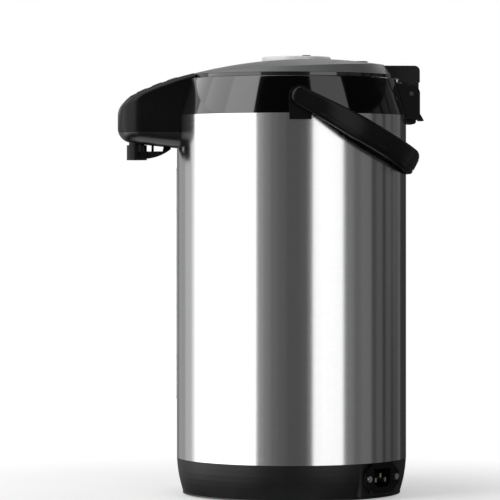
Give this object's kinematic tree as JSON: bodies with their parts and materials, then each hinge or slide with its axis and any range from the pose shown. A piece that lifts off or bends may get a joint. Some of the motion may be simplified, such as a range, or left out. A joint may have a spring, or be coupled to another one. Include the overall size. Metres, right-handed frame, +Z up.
{
  "type": "electric thermo pot",
  "caption": "Electric thermo pot: steel-sleeved body on a turntable, pump lid, beak spout with cup lever, buttons, bail handle and an inner water vessel.",
  "frame": {"origin": "on the pot's axis, at the underside of the turntable's pads", "axes": "+Z up the pot's axis, -X toward the spout, +X toward the lid's hinge"},
  "size_m": [0.2842, 0.238, 0.4068],
  "materials": {
    "brushed_steel": "brushed round the sleeve",
    "plain_steel": "plain",
    "gloss_black": "high gloss",
    "satin_black": "satin",
    "lid_silver": "silver-grey satin",
    "pale_plastic": "satin",
    "dark_grey": "satin",
    "clear_window": "clear",
    "lens_green": "clear tinted",
    "board_green": "printed board",
    "rubber": "matt",
    "silicone": "matt",
    "hose": "matt",
    "brass": "bare",
    "ceramic_black": "sintered magnet",
    "heater": "mica band in steel"
  },
  "bodies": {
    "turntable": {"foot_pads": "rubber", "turntable": "dark_grey", "swivel_washer": "pale_plastic"},
    "pot": {"base_shell": "satin_black", "base_plate": "dark_grey", "base_screws": "plain_steel", "steel_shell": "brushed_steel", "gauge_window": "clear_window", "collar": "gloss_black", "beak_cover": "gloss_black", "control_panel": "satin_black", "panel_lenses": "lens_green", "control_board": "board_green", "nozzle": "gloss_black", "outlet_elbow": "pale_plastic", "lever_pin": "plain_steel", "lever_switch": "dark_grey", "inner_pot": "plain_steel", "pot_seal": "silicone", "band_heater": "heater", "base_heater": "heater", "thermostats": "plain_steel", "gauge_tube": "clear_window", "outlet_hose": "hose", "pump_hose": "hose", "pump_housing": "pale_plastic", "pump_motor": "plain_steel", "power_board": "board_green", "inlet_socket": "satin_black", "inlet_pins": "brass", "inlet_screws": "plain_steel", "ear_pads": "satin_black", "bail_pins": "plain_steel", "hinge_bracket": "satin_black", "hinge_pin": "plain_steel", "release_pin": "plain_steel", "bracket_screws": "plain_steel"},
    "lid": {"lid_cover": "lid_silver", "lid_base": "gloss_black", "lid_plate": "plain_steel", "lid_seal": "silicone", "lid_screws": "plain_steel", "steam_vent": "gloss_black", "pump_spring": "plain_steel", "bellows": "rubber"},
    "plunger": {"push_plate": "pale_plastic"},
    "lock": {"pump_lock": "dark_grey"},
    "latch": {"lid_latch": "gloss_black"},
    "release": {"lid_release": "satin_black"},
    "bail": {"bail_handle": "satin_black"},
    "lever": {"cup_lever": "gloss_black"},
    "dispense_key": {"dispense_button": "dark_grey"},
    "unlock_key": {"unlock_button": "dark_grey"},
    "reboil_key": {"reboil_button": "dark_grey"},
    "rotor": {"drive_magnet": "ceramic_black"},
    "wheel": {"impeller": "pale_plastic"}
  },
  "joints": [
    {"name": "turntable_swivel", "type": "hinge", "parent": "turntable", "child": "pot", "pos_m": [0, 0, 0.0025], "axis": [0, 0, 1], "continuous": true},
    {"name": "lid_hinge", "type": "hinge", "parent": "pot", "child": "lid", "pos_m": [0.11, 0, 0.371], "axis": [0, 1, 0], "range_deg": [0, 80]},
    {"name": "pump_stroke", "type": "slide", "parent": "lid", "child": "plunger", "axis": [0, 0, -1], "range_m": [0, 0.016], "stiffness_N_per_m": 500, "springref_m": -0.012, "deforming": ["bellows", "pump_spring"]},
    {"name": "pump_lock_slide", "type": "slide", "parent": "plunger", "child": "lock", "axis": [0, 1, 0], "range_m": [0, 0.006]},
    {"name": "latch_slide", "type": "slide", "parent": "lid", "child": "latch", "axis": [1, 0, 0], "range_m": [0, 0.004], "stiffness_N_per_m": 400, "springref_m": -0.002},
    {"name": "release_turn", "type": "hinge", "parent": "pot", "child": "release", "pos_m": [0.114, 0, 0.357], "axis": [0, -1, 0], "range_deg": [0, 12], "stiffness_Nm_per_rad": 0.6, "springref_deg": -5.73},
    {"name": "bail_swing", "type": "hinge", "parent": "pot", "child": "bail", "pos_m": [0, 0, 0.3653], "axis": [0, -1, 0], "range_deg": [0, 118]},
    {"name": "lever_turn", "type": "hinge", "parent": "pot", "child": "lever", "pos_m": [-0.114, 0, 0.33], "axis": [0, 1, 0], "range_deg": [0, 5], "stiffness_Nm_per_rad": 0.5, "springref_deg": -5.73},
    {"name": "dispense_key_press", "type": "slide", "parent": "pot", "child": "dispense_key", "axis": [0.3039, 0, -0.9527], "range_m": [0, 0.0008], "stiffness_N_per_m": 900},
    {"name": "unlock_key_press", "type": "slide", "parent": "pot", "child": "unlock_key", "axis": [0.3567, 0, -0.9342], "range_m": [0, 0.0008], "stiffness_N_per_m": 900},
    {"name": "reboil_key_press", "type": "slide", "parent": "pot", "child": "reboil_key", "axis": [0.4096, 0, -0.9123], "range_m": [0, 0.0008], "stiffness_N_per_m": 900},
    {"name": "rotor_spin", "type": "hinge", "parent": "pot", "child": "rotor", "pos_m": [-0.06, 0, 0.05], "axis": [0, 0, 1], "continuous": true},
    {"name": "impeller_spin", "type": "hinge", "parent": "pot", "child": "wheel", "pos_m": [-0.06, 0, 0.05], "axis": [0, 0, 1], "continuous": true}
  ],
  "couplings": [
    {"joint": "impeller_spin", "follows": "rotor_spin", "ratio": 1}
  ]
}
